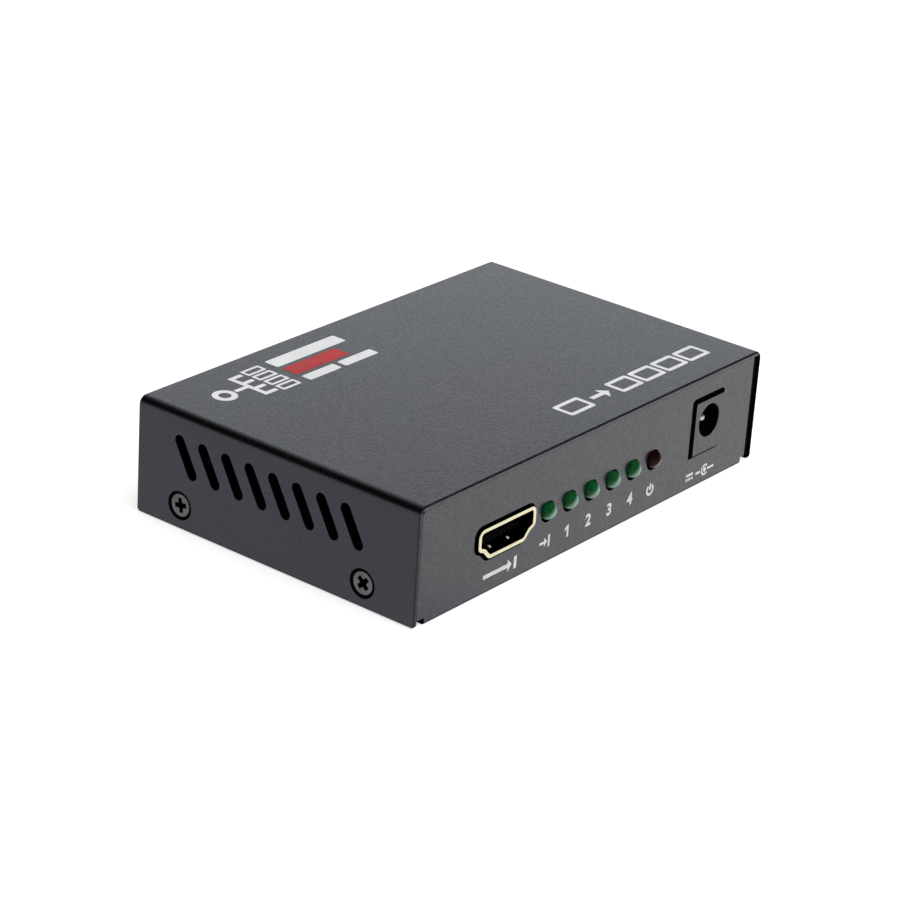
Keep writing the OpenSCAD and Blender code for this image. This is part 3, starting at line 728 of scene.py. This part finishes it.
def arc(x, y, radius, start, sweep, steps):
    turns = [math.radians(start + sweep * i / steps) for i in range(steps + 1)]
    return [(x + radius * math.cos(t), y + radius * math.sin(t)) for t in turns]


def disc(x, y, radius, steps):
    return arc(x, y, radius, 0, 360, steps)[:-1]


def bar(x0, y0, x1, y1, radius):  # rectangle with round corners
    corners = [(x1 - radius, y1 - radius, 0), (x0 + radius, y1 - radius, 90)]
    corners += [(x0 + radius, y0 + radius, 180), (x1 - radius, y0 + radius, 270)]
    steps = ink["cornerSteps"]
    return [point for x, y, start in corners for point in arc(x, y, radius, start, 90, steps)]


def screen(x0, y0, x1, y1, line, radius):  # an empty frame
    return [bar(x0, y0, x1, y1, radius), bar(x0 + line, y0 + line, x1 - line, y1 - line, radius / 2)]


def openRing(x, y, radius, line, start, sweep):
    steps = ink["ringSteps"]
    return arc(x, y, radius, start, sweep, steps) + arc(x, y, radius - line, start + sweep, -sweep, steps)


def arrow(x0, x1, y, line, head):  # points to x1
    neck = x1 - head
    half = line / 2
    lower = [(x0, y - half), (neck, y - half), (neck, y - head), (x1, y)]
    return lower + [(neck, y + head), (neck, y + half), (x0, y + half)]


def inkMesh(name, curve, place):  # a flat drawing, laid where place says
    curve.extrude = ink["thick"] * mm / 2
    drawn = bpy.data.objects.new(name, curve)
    scene.collection.objects.link(drawn)
    bpy.context.view_layer.update()
    depsgraph = bpy.context.evaluated_depsgraph_get()
    mesh = bpy.data.meshes.new_from_object(drawn.evaluated_get(depsgraph))
    bpy.data.objects.remove(drawn)
    bpy.data.curves.remove(curve)
    mesh.name = name
    mesh.transform(place)
    return mesh


def drawSign(name, outlines, place, finish="whiteInk"):
    curve = bpy.data.curves.new(name, "CURVE")
    curve.dimensions = "2D"
    curve.fill_mode = "BOTH"
    for outline in outlines:
        spline = curve.splines.new("POLY")
        spline.points.add(len(outline) - 1)
        for point, (x, y) in zip(spline.points, outline):
            point.co = (x * mm, y * mm, 0, 1)
        spline.use_cyclic_u = True
    addPiece(name, inkMesh(name, curve, place), finish)


def drawDigit(name, digit, x, y, place):
    curve = bpy.data.curves.new(name, "FONT")
    curve.body = digit
    curve.size = ink["digit"] * mm
    curve.offset = ink["bold"] * ink["digit"] * mm
    curve.align_x = "CENTER"
    curve.align_y = "CENTER"
    mesh = inkMesh(name, curve, place @ Matrix.Translation((x * mm, y * mm, 0)))
    addPiece(name, mesh, "whiteInk")


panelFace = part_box("base_tray")[0].y
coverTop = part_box("top_cover")[1].z
upright = Matrix.Rotation(math.pi / 2, 4, "X")
onFront = Matrix.Translation((0, panelFace - ink["thick"] * mm / 2, 0)) @ upright
onTop = Matrix.Translation((0, 0, coverTop + ink["thick"] * mm / 2))


def middleX(node):
    return middle(node).x / mm


frontSigns = {"lampRow": 4.4, "half": 1.2, "corner": 0.1, "oneShift": -0.1, "digitShift": -0.2}
lampArrow = {
    "shift": -0.4,
    "row": 4.4,
    "ends": (-1.5, 0.8),
    "line": 0.5,
    "head": 0.9,
    "wall": (1.05, 1.55),
}
socketArrow = {
    "shift": -1.0,
    "row": 3.4,
    "ends": (-4.8, 3.4),
    "line": 0.8,
    "head": 1.2,
    "wall": (4.0, 4.8),
}
figureOne = {"stem": (-0.12, 0.4), "flag": -0.75, "flagTop": 0.55, "flagLow": 0.05, "joint": 0.45}
powerSign = {"shift": -0.2, "drop": 0.1, "line": 0.5, "open": (125.0, 290.0)}
jackSign = {
    "shift": -0.75,
    "row": 2.7,
    "end": 4.65,
    "dashes": 3,
    "dash": 0.6,
    "dashPitch": 0.85,
    "rows": (0.2, 0.7),
    "lineEnd": -2.35,
    "wires": [(-1.4, 0.1), (2.5, 4.65)],
    "wireHalf": 0.25,
    "corner": 0.05,
    "pin": 1.65,
    "pinRadius": 0.5,
    "pinSteps": 20,
    "ringLine": 0.4,
    "ringOpen": (45.0, 270.0),
}


def arrowPrint(name, node, look):  # an arrow that ends at a wall
    x, y, half = middleX(node) + look["shift"], look["row"], frontSigns["half"]
    start, end = [x + place for place in look["ends"]]
    wallFrom, wallTo = [x + place for place in look["wall"]]
    wall = bar(wallFrom, y - half, wallTo, y + half, frontSigns["corner"])
    drawSign(name, [arrow(start, end, y, look["line"], look["head"]), wall], onFront)


def onePrint(name, node):  # a figure one with a flag
    x, y, half = middleX(node) + frontSigns["oneShift"], frontSigns["lampRow"], frontSigns["half"]
    left, right = [x + place for place in figureOne["stem"]]
    flag = x + figureOne["flag"]
    outline = [(left, y - half), (right, y - half), (right, y + half), (left, y + half)]
    outline += [(flag, y + figureOne["flagTop"]), (flag, y + figureOne["flagLow"])]
    drawSign(name, [outline + [(left, y + figureOne["joint"])]], onFront)


def powerPrint(name, node):
    x, y = middleX(node) + powerSign["shift"], frontSigns["lampRow"] - powerSign["drop"]
    line, half = powerSign["line"], frontSigns["half"]
    stem = bar(x - line / 2, y, x + line / 2, frontSigns["lampRow"] + half, frontSigns["corner"])
    drawSign(name, [openRing(x, y, half, line, *powerSign["open"]), stem], onFront)


def jackPrint(name, node):
    x, y, corner = middleX(node) + jackSign["shift"], jackSign["row"], jackSign["corner"]
    left = x - jackSign["end"]
    near, far = jackSign["rows"]
    starts = [left + jackSign["dashPitch"] * i for i in range(jackSign["dashes"])]
    marks = [bar(start, y - far, start + jackSign["dash"], y - near, corner) for start in starts]
    marks.append(bar(left, y + near, x + jackSign["lineEnd"], y + far, corner))
    marks.append(disc(x + jackSign["pin"], y, jackSign["pinRadius"], jackSign["pinSteps"]))
    for start, end in jackSign["wires"]:
        marks.append(bar(x + start, y - jackSign["wireHalf"], x + end, y + jackSign["wireHalf"], corner))
    ring = (frontSigns["half"], jackSign["ringLine"], *jackSign["ringOpen"])
    drawSign(name, marks + [openRing(x + jackSign["pin"], y, *ring)], onFront)


arrowPrint("lampInputSign", "led_input", lampArrow)
onePrint("lampSign1", "led_output_1")
for i in outputs[1:]:
    digitAt = middleX(f"led_output_{i}") + frontSigns["digitShift"]
    drawDigit(f"lampSign{i}", str(i), digitAt, frontSigns["lampRow"], onFront)
powerPrint("lampPowerSign", "led_power")
arrowPrint("inputSign", "input_socket_shell", socketArrow)
jackPrint("jackSign", "power_jack_body")

diagram = {  # one source that feeds four screens, with bars beside it
    "left": -43.0,
    "low": 16.6,
    "width": 38.8,
    "height": 11.6,
    "line": 1.0,
    "ring": 2.4,
    "ringHole": 1.2,
    "ringSteps": 32,
    "stem": 5.2,
    "trunk": 8.2,
    "tip": 11.6,
    "screens": (12.3, 17.2),
    "screenHalf": 1.2,
    "screenLine": 0.6,
    "screenCorner": 0.3,
    "bars": 19.4,
    "topBar": 3.4,
    "lowBar": 2.4,
    "between": 1.0,
    "lowSplit": (28.2, 29.4),
    "stripeEnd": 34.3,
    "corner": 0.4,
}


def forkOutline(rows, centre):
    left, line = diagram["left"], diagram["line"] / 2
    stem, trunk, tip = left + diagram["stem"], left + diagram["trunk"], left + diagram["tip"]
    inner = trunk + diagram["line"]
    first, last = rows[0], rows[-1]
    fork = [(stem, centre - line), (trunk, centre - line), (trunk, first - line), (tip, first - line)]
    fork += [(tip, first + line), (inner, first + line)]
    for y in rows[1:-1]:
        fork += [(inner, y - line), (tip, y - line), (tip, y + line), (inner, y + line)]
    fork += [(inner, last - line), (tip, last - line), (tip, last + line), (trunk, last + line)]
    return fork + [(trunk, centre + line), (stem, centre + line)]


def diagramPrint():
    left, low, high = diagram["left"], diagram["low"], diagram["low"] + diagram["height"]
    rows = [low + diagram["height"] / len(outputs) * (i - 0.5) for i in outputs]
    centre = (low + high) / 2
    ringX, steps = left + diagram["ring"], diagram["ringSteps"]
    outlines = [disc(ringX, centre, diagram[radius], steps) for radius in ("ring", "ringHole")]
    outlines.append(forkOutline(rows, centre))
    x0, x1 = [left + place for place in diagram["screens"]]
    half = diagram["screenHalf"]
    for y in rows:
        outlines += screen(x0, y - half, x1, y + half, diagram["screenLine"], diagram["screenCorner"])
    start, right, corner = left + diagram["bars"], left + diagram["width"], diagram["corner"]
    splitFrom, splitTo = [left + place for place in diagram["lowSplit"]]
    outlines.append(bar(start, high - diagram["topBar"], right, high, corner))
    outlines.append(bar(start, low, splitFrom, low + diagram["lowBar"], corner))
    outlines.append(bar(splitTo, low, right, low + diagram["lowBar"], corner))
    drawSign("topDiagram", outlines, onTop)
    stripeLow = low + diagram["lowBar"] + diagram["between"]
    stripeHigh = high - diagram["topBar"] - diagram["between"]
    stripe = bar(start, stripeLow, left + diagram["stripeEnd"], stripeHigh, corner)
    drawSign("topStripe", [stripe], onTop, "redInk")


screenRow = {  # one screen, an arrow and four screens
    "left": -1.1,
    "low": -26.9,
    "height": 4.9,
    "first": 7.4,
    "arrow": (9.0, 14.4),
    "arrowLine": 1.1,
    "arrowHead": 1.9,
    "next": 16.0,
    "pitch": 7.3,
    "width": 6.6,
    "line": 0.9,
    "corner": 0.6,
}


def screenRowPrint():
    x, y0 = screenRow["left"], screenRow["low"]
    y1 = y0 + screenRow["height"]
    look = (screenRow["line"], screenRow["corner"])
    outlines = screen(x, y0, x + screenRow["first"], y1, *look)
    start, end = [x + place for place in screenRow["arrow"]]
    outlines.append(arrow(start, end, (y0 + y1) / 2, screenRow["arrowLine"], screenRow["arrowHead"]))
    for i in outputs:
        start = x + screenRow["next"] + screenRow["pitch"] * (i - 1)
        outlines += screen(start, y0, start + screenRow["width"], y1, *look)
    drawSign("topScreens", outlines, onTop)


diagramPrint()
screenRowPrint()
print("prints done")

camera = {  # where the photograph was taken from, in degrees and millimetres
    "azimuth": -52.634,
    "elevation": 24.037,
    "roll": 3.862,
    "aim": (-2.025, -0.156, 7.679),
    "distance": 566.6,
    "lens": 120.324,
    "sensor": 36.0,
    "clip": 10.0,
}


def setCamera():
    turn, lift = math.radians(camera["azimuth"]), math.radians(camera["elevation"])
    back = Vector((math.sin(turn) * math.cos(lift), -math.cos(turn) * math.cos(lift), math.sin(lift)))
    lensData = bpy.data.cameras.new("photoCamera")
    lensData.lens = camera["lens"]
    lensData.sensor_width = camera["sensor"]
    lensData.clip_start = camera["clip"] * mm
    made = bpy.data.objects.new("photoCamera", lensData)
    made.location = Vector(camera["aim"]) * mm + back * camera["distance"] * mm
    roll = Matrix.Rotation(math.radians(camera["roll"]), 3, "Z").to_quaternion()
    made.rotation_mode = "QUATERNION"
    made.rotation_quaternion = (-back).to_track_quat("-Z", "Y") @ roll
    scene.collection.objects.link(made)
    scene.camera = made


setCamera()

studio = {
    "floor": 6000.0,
    "drop": 0.02,
    "paper": tone(231, 231, 231),
    "lift": 0.58,  # white added to the floor for the camera
    "glow": 0.6,  # the floor in reflections, to the left
    "glowTint": (0.88, 0.91, 1.0, 1.0),
    "glowFront": 0.3,
    "glowRight": 0.1,
    "glowAt": (-25.0, 12.0, 80.0),
    "standing": 33.0,  # half the depth of the box on the floor
    # contact is the width of the painted contact shadow round the box, in the floor that gloss sees
    "contact": 0.5,
    "backdrop": 1.0,
    "dark": 0.02,  # the room in reflections, beside the backdrop
    "rightOf": (-0.4, 0.6),
    "behind": (-0.05, 0.45),
    "near": 0.48,  # the backdrop in reflections, above its foot
    "far": 1.0,
    "foot": (0.378, 0.36),
    "card": (0.9, 0.94, 1.0, 1.0),
    "wall": 0.5,  # the walls of the room, left and in front
    "wallTop": (0.52, 0.06),
    "wallLeft": (0.3, -0.6),
    "wallFront": (-0.2, -0.5),
    "fill": 0.5,
    "sun": 1.6,
    "sunSpread": 50.0,
    "sunFrom": (0.1, -0.5, 0.85),
}


def rayKinds(graph):  # camera rays, and rays that metal, gloss or glass send out
    kinds = ("Camera", "Glossy", "Transmission")
    seen, gloss, clear = [graph.node("LightPath", out=f"Is {kind} Ray") for kind in kinds]
    return seen, gloss | clear


def floorGlow(graph):  # the floor as gloss and metal see it, with a painted contact shadow round the box
    x, y, _ = graph.axes(graph.place())
    slant = (x - y) * math.sqrt(0.5)
    first, second, third = [place * mm for place in studio["glowAt"]]
    turn = graph.ease(slant, first, second)
    level = studio["glow"] + studio["glowFront"] * turn
    level = level + studio["glowRight"] * graph.ramp(slant, second, third)
    apart = (abs(x) - cadBox[1].x) | (abs(y) - studio["standing"] * mm)
    strength = level * graph.over(apart, 0.0, studio["contact"])
    colour = graph.blend(turn, studio["glowTint"], white)
    return graph.node("Emission", None, {"Color": graph.blend(strength, black, colour)})


def setFloor():
    half = studio["floor"] * mm / 2
    corners = [(-half, -half, 0), (half, -half, 0), (half, half, 0), (-half, half, 0)]
    mesh = bpy.data.meshes.new("floor")
    mesh.from_pydata(corners, [], [(0, 1, 2, 3)])
    made = bpy.data.objects.new("floor", mesh)
    made.location.z = cadBox[0].z - studio["drop"] * mm
    scene.collection.objects.link(made)
    finish, graph = newFinish("floorPaper")
    seen, gloss = rayKinds(graph)
    paper = graph.node("BsdfDiffuse", None, {"Color": studio["paper"]})
    lift = graph.node("Emission", None, {"Color": graph.blend(seen * studio["lift"], black, white)})
    shown = graph.node("AddShader", None, {0: paper, 1: lift})
    both = graph.node("MixShader", None, {0: gloss, 1: shown, 2: floorGlow(graph)})
    graph.node("OutputMaterial", None, {"Surface": both})
    mesh.materials.append(finish)


def setWorld():
    world = bpy.data.worlds.new("studioWorld")
    scene.world = world
    graph = Graph(world)
    x, y, z = graph.axes(graph.node("TexCoord", out="Generated"))
    card = graph.ease(x, *studio["rightOf"]) * graph.ease(y, *studio["behind"])
    foot = graph.ease(z, *studio["foot"])
    card = card * (studio["near"] + (studio["far"] - studio["near"]) * foot)
    walls = graph.ease(x, *studio["wallLeft"]) | graph.ease(y, *studio["wallFront"])
    walls = walls * graph.ease(z, *studio["wallTop"])
    mirrored = card | walls * studio["wall"] | studio["dark"]
    seen, gloss = rayKinds(graph)
    level = seen * studio["backdrop"] + gloss * mirrored + (1 - (seen | gloss)) * studio["fill"]
    colour = graph.blend(gloss, white, studio["card"])
    light = graph.node("Background", None, {"Color": graph.blend(level, black, colour)})
    graph.node("OutputWorld", None, {"Surface": light})


def setLamp():
    data = bpy.data.lights.new("softSun", "SUN")
    data.energy = studio["sun"]
    data.angle = math.radians(studio["sunSpread"])
    made = bpy.data.objects.new("softSun", data)
    made.rotation_euler = (-Vector(studio["sunFrom"])).to_track_quat("-Z", "Y").to_euler()
    made.visible_glossy = False
    scene.collection.objects.link(made)


setFloor()
setWorld()
setLamp()
scene.view_settings.view_transform = "Standard"
print("studio done")
